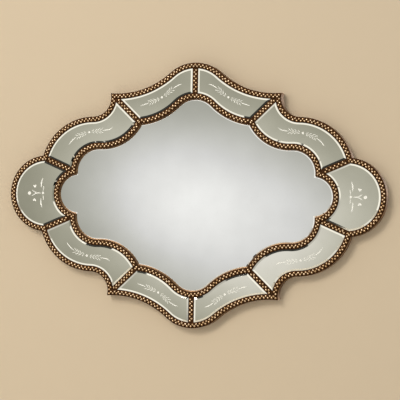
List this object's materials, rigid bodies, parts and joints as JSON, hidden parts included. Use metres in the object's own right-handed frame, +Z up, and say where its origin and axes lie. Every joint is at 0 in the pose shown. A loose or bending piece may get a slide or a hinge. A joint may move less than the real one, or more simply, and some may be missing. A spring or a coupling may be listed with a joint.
{
  "type": "wall mirror",
  "caption": "Wide lobed wall mirror: bevelled centre glass ringed by narrow etched mirror panels between beaded bronze mouldings, on a board with keyhole hangers.",
  "frame": {"origin": "middle of the flat back, on the plane that lies against the wall", "axes": "+X along the width, +Z up, +Y into the wall, so the mirror faces -Y"},
  "size_m": [1.016, 0.034, 0.694],
  "materials": {
    "bronze_moulding": "antique bronze over cast resin, dark in the hollows",
    "centre_mirror": "polished, bevelled",
    "panel_mirror": "polished, bevelled, slightly smoked, with etched sprigs",
    "painted_board": "matt black paint",
    "hanger_steel": "zinc plated"
  },
  "bodies": {
    "root": {"outer_rim": "bronze_moulding", "inner_rim": "bronze_moulding", "divider_top": "bronze_moulding", "divider_bottom": "bronze_moulding", "divider_corner_upper_left": "bronze_moulding", "divider_corner_upper_right": "bronze_moulding", "divider_corner_lower_left": "bronze_moulding", "divider_corner_lower_right": "bronze_moulding", "divider_lobe_upper_left": "bronze_moulding", "divider_lobe_upper_right": "bronze_moulding", "divider_lobe_lower_left": "bronze_moulding", "divider_lobe_lower_right": "bronze_moulding", "centre_glass": "centre_mirror", "panel_lobe_left": "panel_mirror", "panel_lobe_right": "panel_mirror", "panel_side_upper_left": "panel_mirror", "panel_side_upper_right": "panel_mirror", "panel_side_lower_left": "panel_mirror", "panel_side_lower_right": "panel_mirror", "panel_top_left": "panel_mirror", "panel_top_right": "panel_mirror", "panel_bottom_left": "panel_mirror", "panel_bottom_right": "panel_mirror", "backing_board": "painted_board", "hanger_left": "hanger_steel", "hanger_right": "hanger_steel", "hanger_screw_left_top": "hanger_steel", "hanger_screw_left_bottom": "hanger_steel", "hanger_screw_right_top": "hanger_steel", "hanger_screw_right_bottom": "hanger_steel"}
  },
  "joints": []
}
